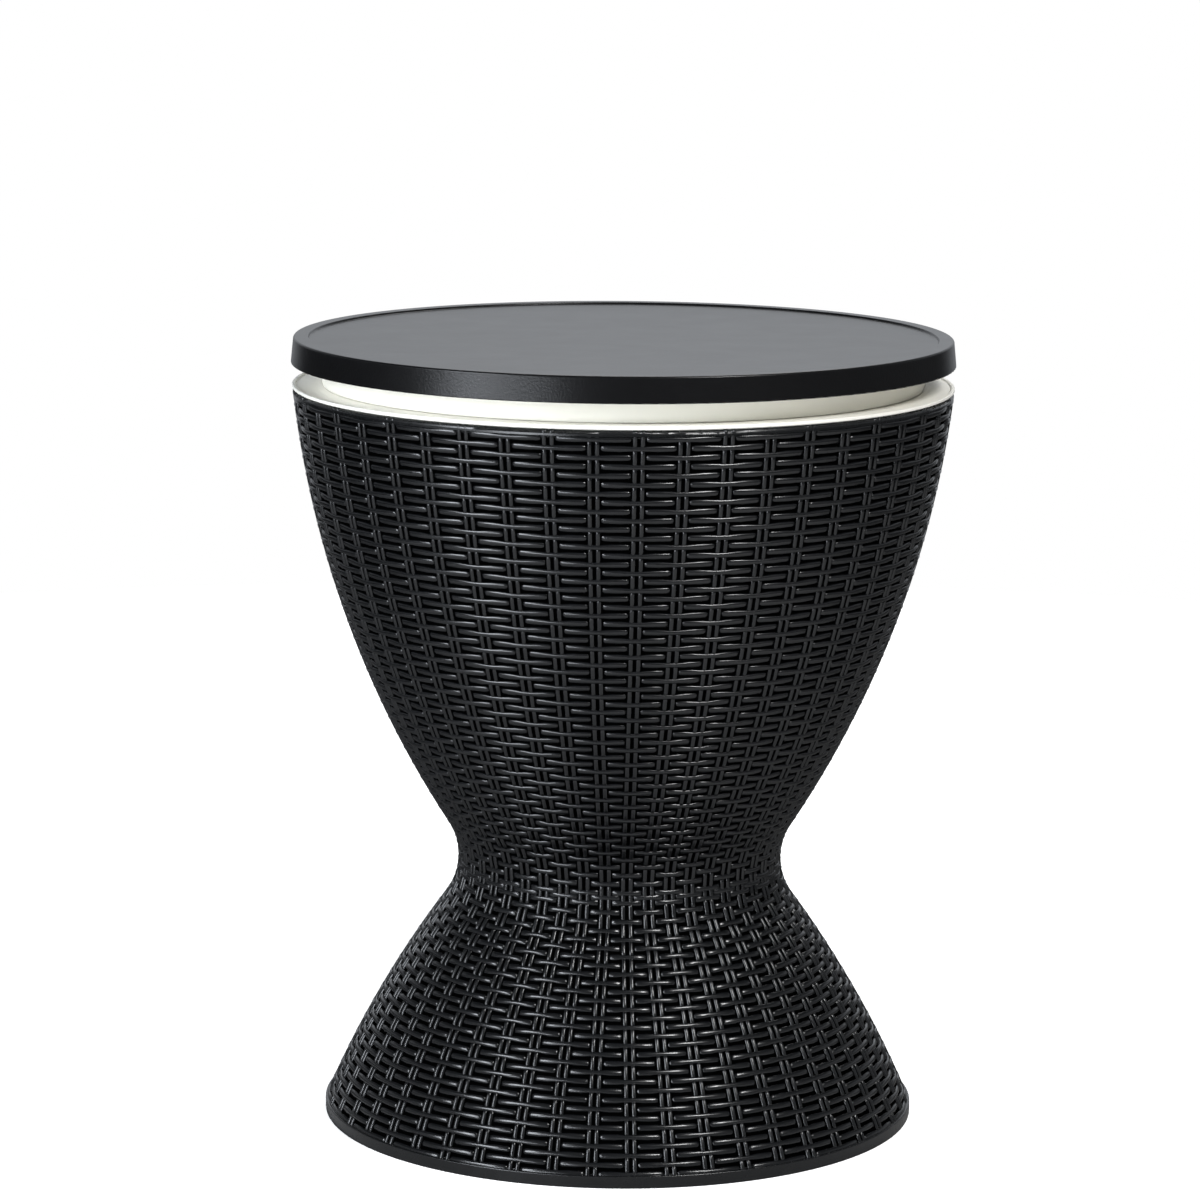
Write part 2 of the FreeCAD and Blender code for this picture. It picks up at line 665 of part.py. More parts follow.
# Black tabletop: raised edge, drafted skirt, and ribs and bosses underneath
def tabletop_cover():
    edge_inner = skirt_top_radius - edge_width
    outline = Outline(skirt_radius - skirt_wall, skirt_bottom)
    outline.to(skirt_radius, skirt_bottom, edge_round).to(skirt_top_radius, edge_top, skirt_round)
    outline.to(edge_inner, edge_top, step_round).to(edge_inner - edge_slope, face_height, step_round)
    outline.to(0, face_height).to(0, face_underside)
    outline.to(skirt_top_radius - skirt_wall, face_underside)
    body = outline.solid()
    rib_end = liner_ring_radius - rib_outer_gap
    merge = face_underside + top_thickness / 2
    rib = Part.makeBox(rib_end - rib_inner_radius, rib_thickness, merge - rib_bottom)
    rib.translate(FreeCAD.Vector(rib_inner_radius, -rib_thickness / 2, rib_bottom))
    pieces = around(rib, rib_count, 180.0 / rib_count)
    pieces.append(ring(ring_rib_radius, ring_rib_radius + rib_thickness, rib_bottom, merge))
    for x, y in circle_points(socket_screw_count, socket_screw_circle):
        pieces.append(rod(socket_boss_radius, boss_bottom, merge, x, y))
    for x, y in circle_points(liner_screw_count, liner_screw_circle):
        pieces.append(rod(liner_boss_radius, liner_flange_top, merge, x, y))
    body = body.fuse(pieces).removeSplitter()
    pilot_end = boss_bottom + socket_screw_reach
    for x, y in circle_points(socket_screw_count, socket_screw_circle):
        body = body.cut(rod(shell_screw_radius, boss_bottom - overrun, pilot_end, x, y))
    pilot_end = liner_flange_top + liner_screw_reach
    for x, y in circle_points(liner_screw_count, liner_screw_circle):
        body = body.cut(rod(liner_screw_radius, liner_flange_top - overrun, pilot_end, x, y))
    return body


# Off-white underside of the lid: shallow plug in the bucket's mouth, visible ring, screw flange
def lid_liner():
    waist = liner_ring_bottom + liner_waist_height
    neck = liner_waist_radius + liner_neck_flare
    hole = socket_radius + liner_hole_clearance
    floor = liner_bottom + liner_wall
    shelf = liner_ring_bottom + liner_wall
    plug_inner = lid_plug_radius - liner_wall
    outline = Outline(hole, liner_bottom).to(lid_plug_radius, liner_bottom, lid_plug_round)
    outline.to(lid_plug_radius, liner_ring_bottom).to(liner_ring_radius, liner_ring_bottom, step_round)
    outline.to(liner_waist_radius, waist).to(neck, liner_flange_bottom)
    outline.to(liner_flange_radius, liner_flange_bottom).to(liner_flange_radius, liner_flange_top)
    outline.to(neck - liner_wall, liner_flange_top).to(liner_waist_radius - liner_wall, waist)
    outline.to(liner_ring_radius - liner_wall, shelf).to(plug_inner, shelf)
    outline.to(plug_inner, floor).to(hole, floor)
    body = outline.solid()
    hole_radius = liner_screw_radius + screw_hole_clearance
    for x, y in circle_points(liner_screw_count, liner_screw_circle):
        body = body.cut(rod(hole_radius, liner_flange_bottom - overrun, liner_flange_top + overrun, x, y))
    return body


def liner_screws():
    spots = circle_points(liner_screw_count, liner_screw_circle)
    reach = liner_flange_thickness + liner_screw_reach
    return [screw(liner_flange_bottom, reach, liner_screw_radius, liner_screw_head_radius,
                  liner_screw_head_height, x, y) for x, y in spots]


# Socket that holds the pole: plate against the tabletop's bosses, sleeve and gussets
def pole_flange():
    outline = Outline(0, socket_plate_bottom).to(pole_radius, socket_plate_bottom)
    outline.to(pole_radius, socket_bottom).to(socket_radius, socket_bottom, edge_round)
    outline.to(socket_radius, socket_plate_bottom)
    outline.to(socket_plate_radius, socket_plate_bottom).to(socket_plate_radius, boss_bottom, edge_round)
    outline.to(0, boss_bottom)
    body = outline.solid()
    inside = socket_radius - socket_wall / 2
    merge = socket_plate_bottom + socket_plate_thickness / 2
    gusset = plate([(inside, merge), (inside, socket_plate_bottom - socket_gusset_height),
                    (socket_radius, socket_plate_bottom - socket_gusset_height),
                    (socket_radius + socket_gusset_width, socket_plate_bottom),
                    (socket_radius + socket_gusset_width, merge)], gusset_thickness)
    body = body.fuse(around(gusset, socket_gusset_count, 180.0 / socket_gusset_count)).removeSplitter()
    hole_radius = shell_screw_radius + screw_hole_clearance
    for x, y in circle_points(socket_screw_count, socket_screw_circle):
        body = body.cut(rod(hole_radius, socket_plate_bottom - overrun, boss_bottom + overrun, x, y))
    return body.cut(cross_rod(socket_pin_radius, socket_radius + overrun, socket_pin_at))


def flange_screws():
    spots = circle_points(socket_screw_count, socket_screw_circle)
    reach = socket_plate_thickness + socket_screw_reach
    return [screw(socket_plate_bottom, reach, shell_screw_radius, shell_screw_head_radius,
                  shell_screw_head_height, x, y) for x, y in spots]


def flange_pin():
    return cross_rod(socket_pin_radius, socket_radius - pin_inset, socket_pin_at)


def inner_pole():
    body = ring(pole_inner_radius, pole_radius, pole_bottom, socket_plate_bottom)
    body = body.cut(cross_rod(socket_pin_radius, pole_radius + overrun, socket_pin_at))
    return body.cut(cross_rod(cam_pin_radius, pole_radius + overrun, cam_pin_at))


def cam_pin():
    return cross_rod(cam_pin_radius, pole_radius - pin_inset, cam_pin_at)


# Cam plugged into the pole's end: its lobes press the collar's pads when the pole turns
def lock_cam():
    body = rod(pole_inner_radius, pole_bottom, pole_bottom + cam_spigot_length)
    body = body.fuse(rod(pole_radius, cam_top, pole_bottom))
    body = body.fuse(rod(cam_core_radius, cam_bottom, cam_top))
    for x, y in circle_points(cam_lobe_count, cam_reach - cam_lobe_radius):
        body = body.fuse(rod(cam_lobe_radius, cam_bottom, cam_top, x, y))
    body = body.removeSplitter().cut(cross_rod(cam_pin_radius, pole_radius, cam_pin_at))
    pilot_end = cam_bottom + retainer_screw_reach
    return body.cut(rod(retainer_screw_radius, cam_bottom - overrun, pilot_end))


# Split collar round the cam, with a pocket for each lobe and a pad between pockets
def lock_collar():
    pads = cam_reach + pad_clearance
    body = ring(pads, collar_radius, collar_bottom, collar_top)
    pocket_at = pads + pocket_extra - pocket_radius
    for x, y in circle_points(cam_lobe_count, pocket_at):
        body = body.cut(rod(pocket_radius, collar_bottom - overrun, collar_top + overrun, x, y))
    height = collar_top - collar_bottom
    for share in (1 / 3, 2 / 3):
        middle = collar_bottom + share * height
        groove = ring(collar_radius - collar_groove_depth, collar_radius + overrun,
                      middle - collar_groove_height / 2, middle + collar_groove_height / 2)
        body = body.cut(groove)
    slit = Part.makeBox(collar_radius, collar_slit, height + 2 * overrun)
    slit.translate(FreeCAD.Vector(-collar_radius - overrun, -collar_slit / 2, collar_bottom - overrun))
    return body.cut(slit)


def collar_retainer():
    bottom = cam_bottom - retainer_thickness
    return ring(retainer_screw_radius + retainer_clearance, retainer_radius, bottom, cam_bottom)


def retainer_screw():
    reach = retainer_thickness + retainer_screw_reach
    return screw(cam_bottom - retainer_thickness, reach, retainer_screw_radius,
                 retainer_head_radius, retainer_head_height, 0.0, 0.0)


def write(name, shape):
    solids = shape if isinstance(shape, list) else [shape]
    solids = [solid for entry in solids for solid in entry.Solids]
    whole = solids[0] if len(solids) == 1 else Part.makeCompound(solids)
    if not whole.isValid():
        raise ValueError(name + " is not a valid solid")
    whole.exportStep("parts/" + name + ".step")
    print(name, len(solids), "solids,", round(sum(s.Volume for s in solids) / 1000.0, 2), "cm3")


os.makedirs("parts", exist_ok=True)
for build in (base_shell, upper_shell, shell_screws, ice_bucket, column_tube, column_bush, column_cap,
              tube_end_cap, clamp_washer, clamp_nut, drain_spigot, drain_gasket, drain_nut, drain_plug,
              tabletop_cover, lid_liner, liner_screws, pole_flange, flange_screws, flange_pin, inner_pole,
              cam_pin, lock_cam, lock_collar, collar_retainer, retainer_screw):
    write(build.__name__, build())

print("height", round(edge_top, 2), "skirt diameter", round(2 * skirt_radius, 2))
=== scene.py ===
import math

import bpy
import numpy as np
from mathutils import Matrix, Vector


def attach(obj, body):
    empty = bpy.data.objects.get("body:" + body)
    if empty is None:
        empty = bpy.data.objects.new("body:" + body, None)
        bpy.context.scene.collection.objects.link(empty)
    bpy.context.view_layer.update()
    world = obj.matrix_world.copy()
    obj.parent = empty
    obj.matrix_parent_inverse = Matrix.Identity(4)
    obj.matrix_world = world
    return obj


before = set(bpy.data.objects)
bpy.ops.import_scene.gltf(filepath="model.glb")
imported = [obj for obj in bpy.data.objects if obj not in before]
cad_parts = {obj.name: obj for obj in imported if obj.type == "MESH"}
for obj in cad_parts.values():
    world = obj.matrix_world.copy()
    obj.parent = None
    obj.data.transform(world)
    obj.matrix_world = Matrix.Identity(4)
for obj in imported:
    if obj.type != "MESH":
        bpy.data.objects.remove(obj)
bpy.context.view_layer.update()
print("frame loaded:", len(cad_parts), "nodes")

mm = 0.001


def linear(code):  # sRGB hex to linear colour
    parts = [int(code[i:i + 2], 16) / 255 for i in (1, 3, 5)]
    return [p / 12.92 if p <= 0.04045 else ((p + 0.055) / 1.055) ** 2.4 for p in parts] + [1.0]


def addNode(tree, kind, settings=None, links=None):  # inputs by name or number, and own properties
    node = tree.nodes.new(kind)
    for name, value in (settings or {}).items():
        if isinstance(name, int) or name in node.inputs:
            node.inputs[name].default_value = value
        else:
            setattr(node, name, value)
    for name, source in (links or {}).items():
        tree.links.new(source, node.inputs[name])
    return node


def newMaterial(name):  # an empty material and the object's own coordinates
    material = bpy.data.materials.new(name)
    material.use_nodes = True
    tree = material.node_tree
    tree.nodes.clear()
    place = addNode(tree, "ShaderNodeTexCoord").outputs["Object"]
    return material, tree, place


def deselectAll():
    if bpy.context.object and bpy.context.object.mode != "OBJECT":
        bpy.ops.object.mode_set(mode="OBJECT")
    bpy.ops.object.select_all(action="DESELECT")


cameraValues = {
    "back": 3.45458, "height": 0.98761,  # metres from the table's axis and above the floor
    "yaw": -0.00469, "pitch": 0.17097, "roll": 0.00736,  # radians
    "lens": 139.885,
}


def makeCamera(values):
    yaw, pitch, roll = values["yaw"], values["pitch"], values["roll"]
    level = math.cos(pitch)
    ahead = Vector((math.sin(yaw) * level, math.cos(yaw) * level, -math.sin(pitch)))
    right = Vector((math.cos(yaw), -math.sin(yaw), 0))
    up = right.cross(ahead)
    across = right * math.cos(roll) + up * math.sin(roll)
    upright = up * math.cos(roll) - right * math.sin(roll)
    camera = bpy.data.objects.new("camera", bpy.data.cameras.new("camera"))
    bpy.context.scene.collection.objects.link(camera)
    camera.data.lens = values["lens"]
    camera.location = (0, -values["back"], values["height"])
    camera.rotation_euler = Matrix((across, upright, -ahead)).transposed().to_euler()
    bpy.context.scene.camera = camera


makeCamera(cameraValues)
print("camera set")


hourglass = {  # mm and degrees, measured to the crests of the weave
    "throatRadius": 122.5, "throatHeight": 195.7,
    "waistCurve": 53.0, "lowerCurve": 800.0, "upperCurve": 758.0,
    "lowerFlare": 36.25, "upperFlare": 32.7,
    "relief": 2.0,  # crests above the moulded skin
}


def onHourglass(along, depth, values=hourglass):  # distance up the crests, and depth under them
    low, high = math.radians(values["lowerFlare"]), math.radians(values["upperFlare"])
    waist, lower, upper = values["waistCurve"], values["lowerCurve"], values["upperCurve"]
    middle = (values["throatRadius"] + waist, values["throatHeight"])
    lowerAt = (middle[0] - (waist + lower) * math.cos(low),
               middle[1] - (waist + lower) * math.sin(low))
    upperAt = (middle[0] - (waist + upper) * math.cos(high),
               middle[1] + (waist + upper) * math.sin(high))
    first = math.asin(-lowerAt[1] / lower)
    lowerEnd = lower * (low - first)
    waistEnd = lowerEnd + waist * (low + high)
    lowerTurn = first + along / lower
    waistTurn = (along - lowerEnd) / waist - low
    upperTurn = (along - waistEnd) / upper - high
    parts = [along < lowerEnd, along < waistEnd]
    radius = np.select(parts,
                       [lowerAt[0] + (lower - depth) * np.cos(lowerTurn),
                        middle[0] - (waist + depth) * np.cos(waistTurn)],
                       upperAt[0] + (upper - depth) * np.cos(upperTurn))
    height = np.select(parts,
                       [lowerAt[1] + (lower - depth) * np.sin(lowerTurn),
                        middle[1] + (waist + depth) * np.sin(waistTurn)],
                       upperAt[1] + (upper - depth) * np.sin(upperTurn))
    return radius, height


weave = {  # mm
    "pairs": 48, "firstPair": 2.65,  # pairs of stakes, and the first one's angle in degrees
    "stakeSpacing": 5.5,
    "lowerRows": 31, "lowerFirst": 11.13, "lowerPitch": 6.753,
    "jointRow": 217.5,  # one more row, squeezed in over the joint of the two shells
    "upperRows": 58, "upperFirst": 597.73, "upperPitch": 6.614,  # counted down from the top
    "strandGap": 0.6,  # from a stake to the strand's end beside it
    "crossing": 4.6,  # half the length that keeps its size over a pair
}
strandShape = {
    "rounding": 0.75, "segments": 2,  # of the section's two upper corners, as shares of its half
    "stations": [  # mm: place along half of it, height of its middle, half width, half height
        (22.1, -0.75, 1.1, 0.6), (21.4, -0.5, 1.95, 1.15), (19.8, -0.3, 2.3, 1.45),
        (11.0, 0.15, 2.35, 1.5), (3.8, 0.5, 1.8, 1.5),
    ],
}
stakeShape = {
    "rounding": 0.8, "segments": 2,
    "stations": [(6.6, -0.6, 1.5, 1.0), (5.2, 0.05, 1.67, 1.43), (3.0, 0.25, 1.7, 1.5)],
}


def loftPiece(name, shape):  # a closed bar along X: a rounded section extruded through the stations
    half = shape["stations"]
    stations = [(-x, z, w, h) for x, z, w, h in half] + half[::-1]
    deselectAll()
    bpy.ops.mesh.primitive_plane_add(size=2, rotation=(0, math.pi / 2, 0))
    piece = bpy.context.object
    piece.name = name
    bpy.ops.object.transform_apply(rotation=True)
    bpy.ops.object.mode_set(mode="EDIT")
    bpy.ops.mesh.select_mode(type="VERT")
    bpy.ops.mesh.select_all(action="DESELECT")
    bpy.ops.object.mode_set(mode="OBJECT")
    for corner in piece.data.vertices:
        corner.select = corner.co.z > 0
    bpy.ops.object.mode_set(mode="EDIT")
    bpy.ops.mesh.bevel(offset=shape["rounding"], segments=shape["segments"], affect="VERTICES")
    bpy.ops.mesh.select_all(action="SELECT")
    x, z, w, h = stations[0]
    bpy.ops.transform.resize(value=(1, w, h), center_override=(0, 0, 0))
    bpy.ops.transform.translate(value=(x, 0, z))
    for nx, nz, nw, nh in stations[1:]:
        bpy.ops.mesh.extrude_region_move(TRANSFORM_OT_translate={"value": (nx - x, 0, nz - z)})
        bpy.ops.transform.resize(value=(1, nw / w, nh / h), center_override=(nx, 0, nz))
        x, z, w, h = nx, nz, nw, nh
    bpy.ops.mesh.select_all(action="SELECT")
    bpy.ops.mesh.normals_make_consistent(inside=False)
    bpy.ops.object.mode_set(mode="OBJECT")
    return piece


def readMesh(piece):  # points and faces of a modelled master, which is then removed
    points = np.array([v.co for v in piece.data.vertices])
    faces = [list(p.vertices) for p in piece.data.polygons]
    bpy.data.objects.remove(piece)
    return points, faces


def buildPiece(name, laid, faces):  # one piece of all the laid copies of a master
    corners = len(laid[0])
    allFaces = [[copy * corners + corner for corner in face]
                for copy in range(len(laid)) for face in faces]
    mesh = bpy.data.meshes.new(name)
    mesh.from_pydata((np.concatenate(laid) * mm).tolist(), [], allFaces)
    mesh.polygons.foreach_set("use_smooth", [True] * len(mesh.polygons))
    piece = bpy.data.objects.new(name, mesh)
    bpy.context.scene.collection.objects.link(piece)
    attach(piece, "stand")
    return piece


def layOn(across, along, height, angle, up):  # a flat shape laid on the hourglass
    radius, level = onHourglass(up + along, hourglass["relief"] - height)
    middle, _ = onHourglass(np.array(float(up)), hourglass["relief"])
    turn = angle + across / middle
    return np.column_stack((radius * np.sin(turn), -radius * np.cos(turn), level))


def pairAngles(row, first):  # even pairs in even rows of the lower shell, and so on
    pitch = 2 * math.pi / weave["pairs"]
    return [math.radians(weave["firstPair"]) + pair * pitch
            for pair in range((row + first) % 2, weave["pairs"], 2)]


def makeStrands(name, master, ups, first):
    points, faces = master
    pitch = 2 * math.pi / weave["pairs"]
    keep = weave["crossing"]
    stakeEdge = weave["stakeSpacing"] / 2 + stakeShape["stations"][-1][2] + weave["strandGap"]
    modelled = strandShape["stations"][0][0]
    along = np.abs(points[:, 0])
    kept, rest = np.minimum(along, keep), np.maximum(along - keep, 0)
    laid = []
    for row, up in ups:
        radius, _ = onHourglass(np.array(float(up)), 0.0)
        wanted = radius * pitch - stakeEdge
        across = np.sign(points[:, 0]) * (kept + rest * (wanted - keep) / (modelled - keep))
        for angle in pairAngles(row, first):
            laid.append(layOn(across, points[:, 1], points[:, 2], angle, up))
    return buildPiece(name, laid, faces)


def makeStakes(name, master, ups, first):
    points, faces = master
    laid = []
    for row, up in ups:
        radius, _ = onHourglass(np.array(float(up)), hourglass["relief"])
        aside = weave["stakeSpacing"] / 2 / radius
        for angle in pairAngles(row, first + 1):
            for side in (-aside, aside):
                laid.append(layOn(-points[:, 1], points[:, 0], points[:, 2], angle + side, up))
    return buildPiece(name, laid, faces)


lowerUps = [(i, weave["lowerFirst"] + i * weave["lowerPitch"]) for i in range(weave["lowerRows"])]
lowerUps.append((weave["lowerRows"], weave["jointRow"]))
upperUps = [(j, weave["upperFirst"] - j * weave["upperPitch"]) for j in range(weave["upperRows"])]
half = len(upperUps) // 2
strand = readMesh(loftPiece("strand", strandShape))
stake = readMesh(loftPiece("stake", stakeShape))
wovenPieces = [
    makeStrands("lower_strands", strand, lowerUps, 0),
    makeStakes("lower_stakes", stake, lowerUps, 0),
    makeStrands("upper_strands_high", strand, upperUps[:half], 1),
    makeStrands("upper_strands_low", strand, upperUps[half:], 1),
    makeStakes("upper_stakes_high", stake, upperUps[:half], 1),
    makeStakes("upper_stakes_low", stake, upperUps[half:], 1),
]
for piece in wovenPieces:
    print(piece.name, len(piece.data.polygons), "faces")


plastic = {"ior": 1.49, "specular": 0.5}
paintedGrooveShade = {"colour": "#020202", "specular": 0.0}  # painted shade: the skin between the strands drawn near black and without reflection, for the shadow in the deep grooves
noiseDetail = {"patch": 3.0, "grain": 2.0}


def paintedShadeMask(tree, place, zone):  # painted shade between two heights in mm: 1 between them, 0 outside them
    height = addNode(tree, "ShaderNodeSeparateXYZ", links={"Vector": place}).outputs["Z"]
    middle, reach = (zone[0] + zone[1]) / 2 * mm, (zone[1] - zone[0]) / 2 * mm
    return addNode(tree, "ShaderNodeMath", {"operation": "COMPARE", 1: middle, 2: reach},
                   {0: height}).outputs["Value"]


def surface(values):  # one procedural surface: patches in colour and gloss, grain in the bump
    material, tree, place = newMaterial(values["name"])
    if "stretch" in values:
        place = addNode(tree, "ShaderNodeMapping", {"Scale": values["stretch"]},
                        {"Vector": place}).outputs["Vector"]

    def noise(kind):
        size = values[kind] * mm
        return addNode(tree, "ShaderNodeTexNoise", {"Scale": 1 / size, "Detail": noiseDetail[kind]},
                       {"Vector": place}).outputs["Fac"]

    patches = noise("patch")
    rough, rougher = values["roughness"]
    colour = addNode(tree, "ShaderNodeMix", {"data_type": "RGBA", 6: linear(values["colour"]),
                                             7: linear(values["worn"])}, {0: patches}).outputs[2]
    gloss = addNode(tree, "ShaderNodeMapRange", {"To Min": rough, "To Max": rougher},
                    {"Value": patches}).outputs["Result"]
    bump = addNode(tree, "ShaderNodeBump",
                   {"Strength": values["strength"], "Distance": values["depth"] * mm},
                   {"Height": noise("grain")}).outputs["Normal"]
    links = {"Base Color": colour, "Roughness": gloss, "Normal": bump}
    if values.get("metal"):
        settings = {"Metallic": 1.0}
    else:
        settings = {"IOR": plastic["ior"],
                    "Specular IOR Level": values.get("specular", plastic["specular"])}
    # painted shade: between the two heights the colour turns near black and the reflection goes, for
    # the shadow between the strands
    if "paintedShadeHeights" in values:
        mask = paintedShadeMask(tree, place, values["paintedShadeHeights"])
        links["Specular IOR Level"] = addNode(
            tree, "ShaderNodeMapRange", {"To Min": plastic["specular"], "To Max": paintedGrooveShade["specular"]},
            {"Value": mask}).outputs["Result"]
        links["Base Color"] = addNode(
            tree, "ShaderNodeMix", {"data_type": "RGBA", 7: linear(paintedGrooveShade["colour"])},
            {0: mask, 6: colour}).outputs[2]
    shader = addNode(tree, "ShaderNodeBsdfPrincipled", settings, links)
    addNode(tree, "ShaderNodeOutputMaterial", links={"Surface": shader.outputs["BSDF"]})
    return material


surfaces = {  # patch, grain and depth in mm; a grain too fine to show is drawn coarser
    # polypropylene from a textured tool: black all through, with a soft sheen on every crest
    "weave": {
        "name": "black_moulded_polypropylene",
        "colour": "#08090a", "worn": "#0d0e10", "roughness": (0.19, 0.29),
        "patch": 14.0, "grain": 0.9, "strength": 0.25, "depth": 0.12,
    },
    # the same shells under the weave, with painted shade between two heights: the skin between the
    # strands near black and without reflection, for the shadow in the grooves
    "shell": {
        "name": "black_polypropylene_shell_with_painted_groove_shade",
        "colour": "#090a0b", "worn": "#0e0f10", "roughness": (0.22, 0.32),
        "patch": 14.0, "grain": 0.9, "strength": 0.2, "depth": 0.1, "paintedShadeHeights": (9.6, 547.0),
    },
    # polypropylene from a spark-eroded tool: even pits that soften the reflection
    "top": {
        "name": "black_grained_polypropylene",
        "colour": "#09090a", "worn": "#0c0c0d", "roughness": (0.27, 0.31), "specular": 0.25,
        "patch": 30.0, "grain": 1.8, "strength": 0.6, "depth": 0.16,
    },
    # off-white polypropylene from a smooth tool: milky, slightly waxy, with faint flow marks
    "white": {
        "name": "white_moulded_polypropylene",
        "colour": "#fffdf4", "worn": "#fdfbf1", "roughness": (0.30, 0.40),
        "patch": 60.0, "grain": 3.0, "strength": 0.05, "depth": 0.1,
    },
    # white polypropylene of the post, a little glossier, with faint lines along it
    "pole": {
        "name": "white_extruded_polypropylene",
        "colour": "#f3f2ee", "worn": "#efeee9", "roughness": (0.26, 0.34),
        "patch": 40.0, "grain": 1.5, "strength": 0.06, "depth": 0.1, "stretch": (1, 1, 0.05),
    },
    # natural acetal of the sliding parts, dense and waxy
    "acetal": {
        "name": "natural_acetal",
        "colour": "#c3c4c4", "worn": "#babbbb", "roughness": (0.32, 0.42),
        "patch": 12.0, "grain": 0.8, "strength": 0.1, "depth": 0.05,
    },
    # black nylon of the nuts and the drain, faintly mottled
    "nylon": {
        "name": "black_nylon",
        "colour": "#111112", "worn": "#18181a", "roughness": (0.38, 0.50),
        "patch": 8.0, "grain": 0.6, "strength": 0.15, "depth": 0.05,
    },
    # drawn aluminium tube: fine lines along its length
    "aluminium": {
        "name": "drawn_aluminium", "metal": True,
        "colour": "#d6d8da", "worn": "#c9cbcd", "roughness": (0.24, 0.36),
        "patch": 3.0, "grain": 0.4, "strength": 0.2, "depth": 0.02, "stretch": (1, 1, 0.02),
    },
    # zinc-plated steel: cool grey with cloudy patches
    "zinc": {
        "name": "zinc_plated_steel", "metal": True,
        "colour": "#c2c6ca", "worn": "#aeb2b8", "roughness": (0.26, 0.42),
        "patch": 2.5, "grain": 0.5, "strength": 0.12, "depth": 0.03,
    },
    # moulded rubber: dull black with a dusty bloom
    "rubber": {
        "name": "moulded_rubber",
        "colour": "#121212", "worn": "#1c1c1c", "roughness": (0.65, 0.80),
        "patch": 5.0, "grain": 0.4, "strength": 0.2, "depth": 0.05,
    },
}
finishes = {
    "shell": ["base_shell", "upper_shell"],
    "top": ["tabletop_cover"],
    "white": ["ice_bucket", "lid_liner", "column_cap"],
    "pole": ["inner_pole", "pole_flange"],
    "acetal": ["column_bush", "lock_cam", "lock_collar"],
    "nylon": ["tube_end_cap", "clamp_nut", "drain_spigot", "drain_nut"],
    "aluminium": ["column_tube"],
    "zinc": ["clamp_washer", "shell_screws", "liner_screws", "flange_screws", "flange_pin",
             "cam_pin", "collar_retainer", "retainer_screw"],
    "rubber": ["drain_gasket", "drain_plug"],
}


def dress(piece, material):
    piece.data.materials.clear()
    piece.data.materials.append(material)


made = {kind: surface(values) for kind, values in surfaces.items()}
for kind, names in finishes.items():
    for name in names:
        dress(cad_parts[name], made[kind])
for piece in wovenPieces:
    dress(piece, made["weave"])
bare = [name for name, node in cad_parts.items() if not node.data.materials]
print("materials made; nodes without one:", bare)


studio = {
    "floorRadius": 2.4, "floorCorners": 96,
    "floorPaper": "#f4f4f4",
    "floorPaintedShade": ("#d4d4d4", "#707070", -0.5, 0.25),  # painted shade on the floor as the table sees it, pale in front and darker behind: front, back, from Y to Y
    "floorGlow": (0.64, 1.0, 0.6, 1.3),  # near and far, and where it changes, in metres
    "ambient": 0.02, "roomColour": (0.96, 1.0, 1.06, 1.0),
    "walls": {  # direction, cosines where each starts and is full, glow, rays that see it
        "right": ((1, 0, 0), 0.5, 0.9, 0.07, None),
        "front": ((0, -0.5, 0.87), 0.5, 0.95, 0.1, None),
        "backdrop": ((0, 1, 0), 0.82, 0.95, 0.48, "Is Glossy Ray"),
        "horizon": ((0, 0, 1), 0.02, 0.12, 0.3, "Is Glossy Ray"),
        "sky": ((0, 0, 1), 0.28, 0.5, -0.26, "Is Glossy Ray"),  # the horizon's glow fades higher up
    },
    "lamps": {  # place, size in metres, watts, colour
        "key_softbox": ((-2.21, -1.73, 1.35), (0.9, 1.3), 63.0, (0.95, 1.0, 1.07)),
        "low_left_box": ((-1.6, -2.4, 0.35), (1.0, 0.5), 26.0, (0.95, 1.0, 1.07)),
        "high_right_box": ((1.35, -1.75, 2.3), (0.6, 0.7), 64.0, (1.0, 1.0, 1.0)),
        "high_back_box": ((0.3, 2.0, 2.5), (1.4, 0.8), 25.0, (1.0, 1.0, 1.0)),
    },
    "aim": (0.0, 0.0, 0.35),
}
white = (1.0, 1.0, 1.0, 1.0)


def makeFloor(values):  # white paper to the camera; to the table a grey floor with painted shade, darker behind it
    deselectAll()
    bpy.ops.mesh.primitive_circle_add(vertices=values["floorCorners"], radius=values["floorRadius"],
                                      fill_type="NGON")
    floor = bpy.context.object
    floor.name = "floor"
    material, tree, place = newMaterial("white_floor_paper")
    paper = addNode(tree, "ShaderNodeBsdfDiffuse", {"Color": linear(values["floorPaper"])})
    near, far, start, end = values["floorGlow"]
    away = addNode(tree, "ShaderNodeVectorMath", {"operation": "LENGTH"}, {0: place}).outputs["Value"]
    strength = addNode(tree, "ShaderNodeMapRange",
                       {"From Min": start, "From Max": end, "To Min": near, "To Max": far},
                       {"Value": away}).outputs["Result"]
    glow = addNode(tree, "ShaderNodeEmission", {"Color": white}, {"Strength": strength})
    both = addNode(tree, "ShaderNodeAddShader",
                   links={0: paper.outputs["BSDF"], 1: glow.outputs["Emission"]})
    # painted shade: the floor that the table sees grows darker from front to back
    front, back, start, end = values["floorPaintedShade"]
    backwards = addNode(tree, "ShaderNodeSeparateXYZ", links={"Vector": place}).outputs["Y"]
    share = addNode(tree, "ShaderNodeMapRange", {"From Min": start, "From Max": end},
                    {"Value": backwards}).outputs["Result"]
    shade = addNode(tree, "ShaderNodeMix", {"data_type": "RGBA", 6: linear(front), 7: linear(back)},
                    {0: share}).outputs[2]
    paintedShadeFloor = addNode(tree, "ShaderNodeBsdfDiffuse", links={"Color": shade})
    path = addNode(tree, "ShaderNodeLightPath")
    mix = addNode(tree, "ShaderNodeMixShader", links={
        "Fac": path.outputs["Is Camera Ray"], 1: paintedShadeFloor.outputs["BSDF"], 2: both.outputs["Shader"]})
    addNode(tree, "ShaderNodeOutputMaterial", links={"Surface": mix.outputs["Shader"]})
    floor.data.materials.append(material)


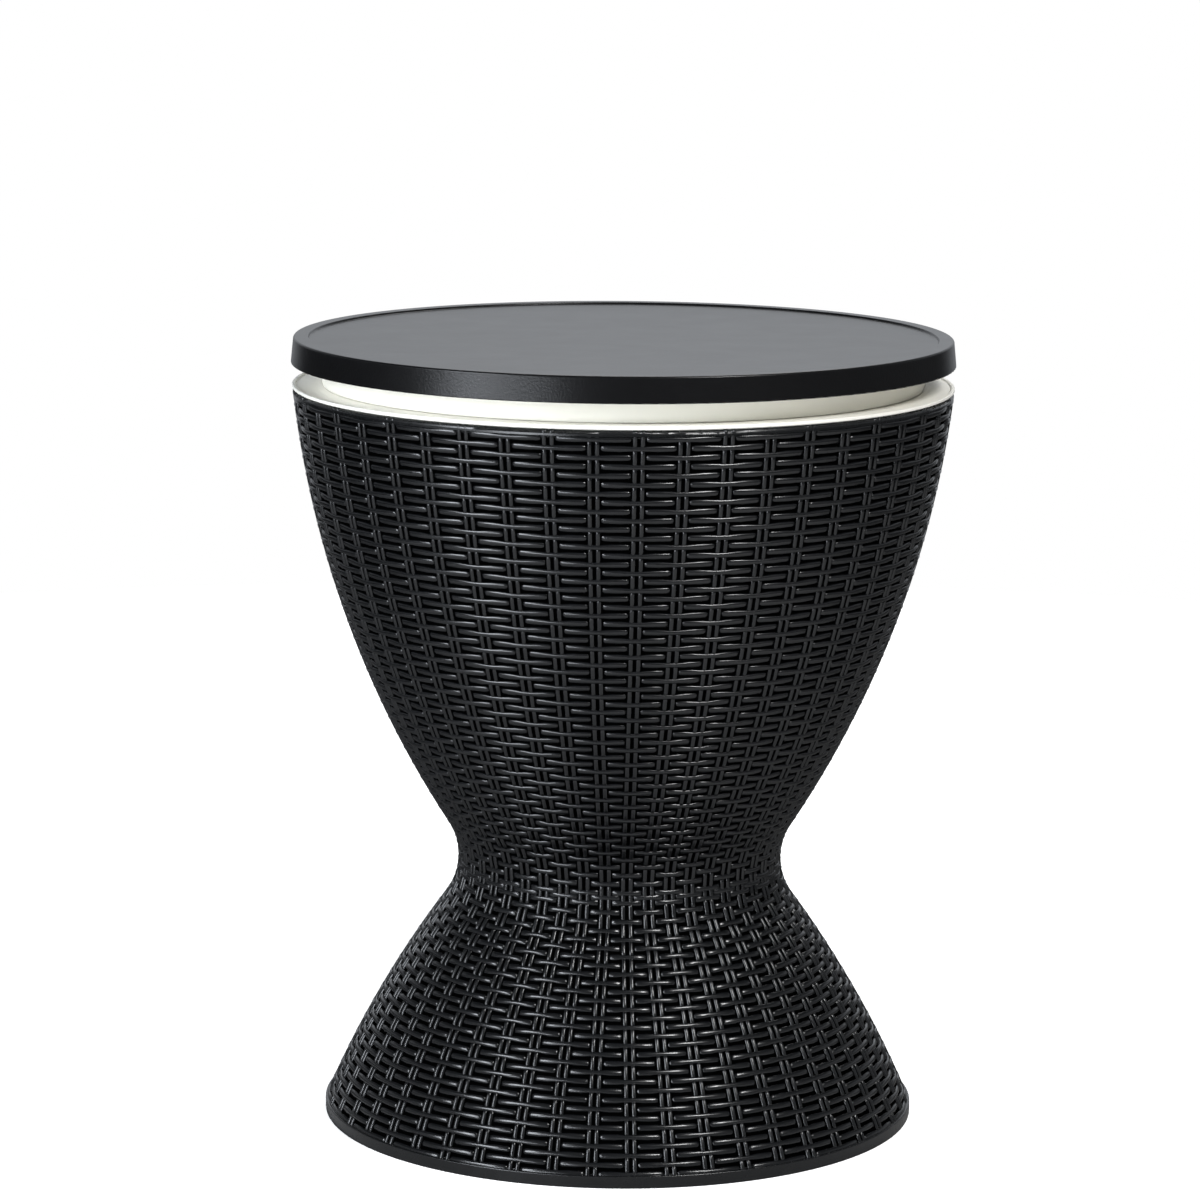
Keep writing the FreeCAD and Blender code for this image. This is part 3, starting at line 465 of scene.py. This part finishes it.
def makeRoom(values):  # white to the camera; to the rest dim, with pale walls and a backdrop
    world = bpy.data.worlds.new("studio")
    bpy.context.scene.world = world
    world.use_nodes = True
    tree = world.node_tree
    tree.nodes.clear()
    towards = addNode(tree, "ShaderNodeTexCoord").outputs["Generated"]
    path = addNode(tree, "ShaderNodeLightPath")
    strength = addNode(tree, "ShaderNodeValue").outputs[0]
    strength.default_value = values["ambient"]
    for direction, start, full, glow, rays in values["walls"].values():
        side = addNode(tree, "ShaderNodeVectorMath", {"operation": "DOT_PRODUCT", 1: direction},
                       {0: towards}).outputs["Value"]
        wall = addNode(tree, "ShaderNodeMapRange",
                       {"interpolation_type": "SMOOTHSTEP", "From Min": start, "From Max": full,
                        "To Min": 0.0, "To Max": glow}, {"Value": side}).outputs["Result"]
        if rays:
            wall = addNode(tree, "ShaderNodeMath", {"operation": "MULTIPLY"},
                           {0: wall, 1: path.outputs[rays]}).outputs["Value"]
        strength = addNode(tree, "ShaderNodeMath", {"operation": "ADD"},
                           {0: strength, 1: wall}).outputs["Value"]
    room = addNode(tree, "ShaderNodeBackground", {"Color": values["roomColour"]},
                   {"Strength": strength})
    plain = addNode(tree, "ShaderNodeBackground", {"Color": white, "Strength": 1.0})
    seen = addNode(tree, "ShaderNodeMath", {"operation": "MAXIMUM"}, {
        0: path.outputs["Is Camera Ray"], 1: path.outputs["Is Transmission Ray"]}).outputs["Value"]
    mix = addNode(tree, "ShaderNodeMixShader", links={
        "Fac": seen, 1: room.outputs["Background"], 2: plain.outputs["Background"]})
    addNode(tree, "ShaderNodeOutputWorld", links={"Surface": mix.outputs["Shader"]})


def makeLamps(values):
    aim = Vector(values["aim"])
    for name, (place, size, power, colour) in values["lamps"].items():
        data = bpy.data.lights.new(name, "AREA")
        data.shape = "RECTANGLE"
        data.size, data.size_y = size
        data.energy = power
        data.color = colour
        lamp = bpy.data.objects.new(name, data)
        bpy.context.scene.collection.objects.link(lamp)
        lamp.location = place
        lamp.rotation_euler = (aim - Vector(place)).to_track_quat("-Z", "Y").to_euler()


makeFloor(studio)
makeRoom(studio)
makeLamps(studio)
bpy.context.scene.view_settings.view_transform = "Standard"
print("studio made")
